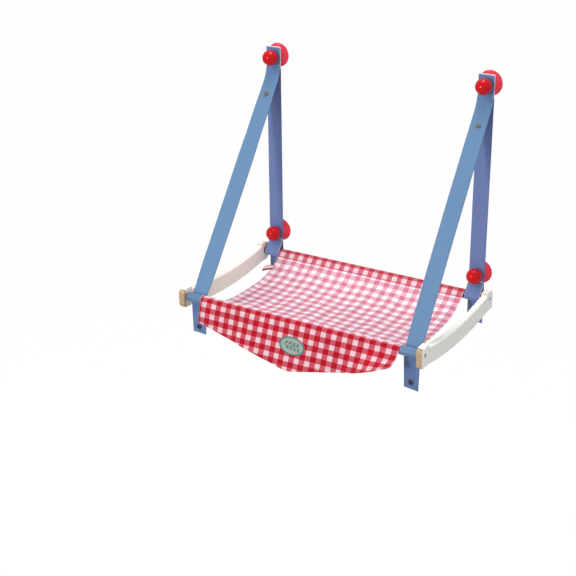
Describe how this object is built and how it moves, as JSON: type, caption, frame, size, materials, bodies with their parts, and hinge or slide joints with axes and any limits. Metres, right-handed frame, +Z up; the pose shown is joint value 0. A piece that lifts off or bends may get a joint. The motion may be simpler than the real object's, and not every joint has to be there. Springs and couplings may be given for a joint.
{
  "type": "window mounted cat perch",
  "caption": "Fabric sling perch for a cat, held on a window pane by suction cups and webbing straps; it folds up flat against the glass.",
  "frame": {"origin": "on the plane of the glass, midway between the four suction cups", "axes": "+X to the right along the rails, +Y into the window (the room is at -Y), +Z up"},
  "size_m": [0.616, 0.4215, 0.6082],
  "materials": {
    "clear_red_vinyl": "glossy, slightly clear",
    "stud_steel": "zinc plated",
    "red_knob": "glossy",
    "blue_loop": "smooth webbing",
    "blue_webbing": "smooth webbing",
    "snap_bright": "nickel",
    "snap_dark": "gunmetal",
    "dark_wood": "stained, satin",
    "pale_wood": "whitewashed pine, satin",
    "screw_steel": "blackened",
    "gingham": "woven gingham",
    "gingham_flap": "woven gingham, lined",
    "patch_cloth": "embroidered",
    "tag_ribbon": "woven ribbon"
  },
  "bodies": {
    "window_mount": {"suction_cup_upper_left": "clear_red_vinyl", "cup_stud_upper_left": "stud_steel", "suction_cup_upper_right": "clear_red_vinyl", "cup_stud_upper_right": "stud_steel", "suction_cup_lower_left": "clear_red_vinyl", "cup_stud_lower_left": "stud_steel", "suction_cup_lower_right": "clear_red_vinyl", "cup_stud_lower_right": "stud_steel", "rear_strap_left": "blue_webbing", "rear_strap_loop_left": "blue_loop", "front_strap_tab_left": "blue_webbing", "rear_strap_right": "blue_webbing", "rear_strap_loop_right": "blue_loop", "front_strap_tab_right": "blue_webbing"},
    "seat": {"rear_rail": "dark_wood", "front_rail": "dark_wood", "side_arm_left": "pale_wood", "side_arm_right": "pale_wood", "rail_screws": "screw_steel", "seat_cloth": "gingham", "side_tag": "tag_ribbon", "front_strap_loop_left": "blue_loop", "front_strap_loop_right": "blue_loop"},
    "flap": {"front_flap": "gingham_flap", "flap_patch": "patch_cloth"},
    "upper_stretch_left": {"front_strap_upper_left": "blue_webbing", "snap_stud_left": "snap_bright"},
    "lower_stretch_left": {"front_strap_lower_left": "blue_webbing"},
    "tail_left": {"front_strap_tail_left": "blue_webbing", "snap_socket_left": "snap_dark"},
    "upper_stretch_right": {"front_strap_upper_right": "blue_webbing", "snap_stud_right": "snap_bright"},
    "lower_stretch_right": {"front_strap_lower_right": "blue_webbing"},
    "tail_right": {"front_strap_tail_right": "blue_webbing", "snap_socket_right": "snap_dark"},
    "knob_upper_left": {"knob_upper_left": "red_knob"},
    "knob_upper_right": {"knob_upper_right": "red_knob"},
    "knob_lower_left": {"knob_lower_left": "red_knob"},
    "knob_lower_right": {"knob_lower_right": "red_knob"}
  },
  "joints": [
    {"name": "seat_fold", "type": "hinge", "parent": "window_mount", "child": "seat", "pos_m": [0, -0.03236, -0.266], "axis": [-1, 0, 0], "range_deg": [0, 88]},
    {"name": "flap_hang", "type": "hinge", "parent": "seat", "child": "flap", "pos_m": [0, -0.36236, -0.266], "axis": [-1, 0, 0], "range_deg": [-88, 0]},
    {"name": "strap_bend_left", "type": "hinge", "parent": "window_mount", "child": "upper_stretch_left", "pos_m": [-0.267, -0.0224, 0.181], "axis": [-1, 0, 0], "range_deg": [-33.16, 0]},
    {"name": "strap_fold_left", "type": "hinge", "parent": "upper_stretch_left", "child": "lower_stretch_left", "pos_m": [-0.267, -0.22231, -0.09363], "axis": [-1, 0, 0], "range_deg": [0, 172.96], "deforming": ["front_strap_lower_left"]},
    {"name": "tail_turn_left", "type": "hinge", "parent": "lower_stretch_left", "child": "tail_left", "pos_m": [-0.267, -0.35284, -0.27293], "axis": [-1, 0, 0], "range_deg": [0, 57.71], "deforming": ["front_strap_tail_left"]},
    {"name": "strap_bend_right", "type": "hinge", "parent": "window_mount", "child": "upper_stretch_right", "pos_m": [0.267, -0.0224, 0.181], "axis": [-1, 0, 0], "range_deg": [-33.16, 0]},
    {"name": "strap_fold_right", "type": "hinge", "parent": "upper_stretch_right", "child": "lower_stretch_right", "pos_m": [0.267, -0.22231, -0.09363], "axis": [-1, 0, 0], "range_deg": [0, 172.96], "deforming": ["front_strap_lower_right"]},
    {"name": "tail_turn_right", "type": "hinge", "parent": "lower_stretch_right", "child": "tail_right", "pos_m": [0.267, -0.35284, -0.27293], "axis": [-1, 0, 0], "range_deg": [0, 57.71], "deforming": ["front_strap_tail_right"]},
    {"name": "knob_upper_left_turn", "type": "hinge", "parent": "window_mount", "child": "knob_upper_left", "pos_m": [-0.267, -0.037, 0.218], "axis": [0, -1, 0], "continuous": true},
    {"name": "knob_upper_right_turn", "type": "hinge", "parent": "window_mount", "child": "knob_upper_right", "pos_m": [0.267, -0.037, 0.218], "axis": [0, -1, 0], "continuous": true},
    {"name": "knob_lower_left_turn", "type": "hinge", "parent": "window_mount", "child": "knob_lower_left", "pos_m": [-0.267, -0.037, -0.218], "axis": [0, -1, 0], "continuous": true},
    {"name": "knob_lower_right_turn", "type": "hinge", "parent": "window_mount", "child": "knob_lower_right", "pos_m": [0.267, -0.037, -0.218], "axis": [0, -1, 0], "continuous": true}
  ],
  "couplings": [
    {"joint": "flap_hang", "follows": "seat_fold", "ratio": -1},
    {"joint": "strap_bend_left", "follows": "seat_fold", "ratio": -0.37672},
    {"joint": "strap_fold_left", "follows": "seat_fold", "ratio": 1.9654},
    {"joint": "tail_turn_left", "follows": "seat_fold", "ratio": 0.65566},
    {"joint": "strap_bend_right", "follows": "seat_fold", "ratio": -0.37672},
    {"joint": "strap_fold_right", "follows": "seat_fold", "ratio": 1.9654},
    {"joint": "tail_turn_right", "follows": "seat_fold", "ratio": 0.65566}
  ]
}
